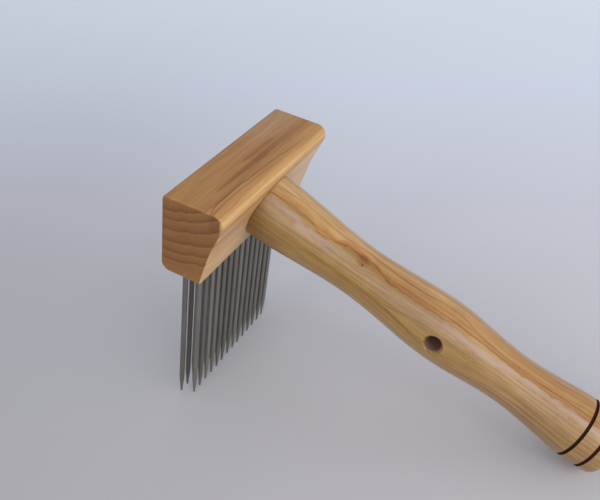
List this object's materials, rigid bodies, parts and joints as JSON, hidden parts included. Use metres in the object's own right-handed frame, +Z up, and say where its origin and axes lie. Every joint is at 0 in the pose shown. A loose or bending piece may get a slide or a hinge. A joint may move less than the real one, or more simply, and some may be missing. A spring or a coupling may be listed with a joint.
{
  "type": "wool comb",
  "caption": "Hand wool comb: a wooden head with staggered rows of pointed steel tines and a turned wooden handle with a cross hole near its middle.",
  "frame": {"origin": "on the table, under the middle of the comb's box, as the comb stands when it is set down", "axes": "+Z up, +Y from the head towards the handle's butt, X along the head and its rows of tines, with +X at the end that carries tine 01 of both rows"},
  "size_m": [0.1124, 0.2428, 0.1467],
  "materials": {
    "head_wood": "oiled, satin",
    "handle_wood": "oiled, satin",
    "tine_steel": "ground, matte"
  },
  "bodies": {
    "root": {"head": "head_wood", "handle": "handle_wood", "back_tine_01": "tine_steel", "back_tine_02": "tine_steel", "back_tine_03": "tine_steel", "back_tine_04": "tine_steel", "back_tine_05": "tine_steel", "back_tine_06": "tine_steel", "back_tine_07": "tine_steel", "back_tine_08": "tine_steel", "back_tine_09": "tine_steel", "back_tine_10": "tine_steel", "back_tine_11": "tine_steel", "back_tine_12": "tine_steel", "back_tine_13": "tine_steel", "back_tine_14": "tine_steel", "back_tine_15": "tine_steel", "side_tine_01": "tine_steel", "side_tine_02": "tine_steel", "side_tine_03": "tine_steel", "side_tine_04": "tine_steel", "side_tine_05": "tine_steel", "side_tine_06": "tine_steel", "side_tine_07": "tine_steel", "side_tine_08": "tine_steel", "side_tine_09": "tine_steel", "side_tine_10": "tine_steel", "side_tine_11": "tine_steel", "side_tine_12": "tine_steel", "side_tine_13": "tine_steel", "side_tine_14": "tine_steel"}
  },
  "joints": []
}
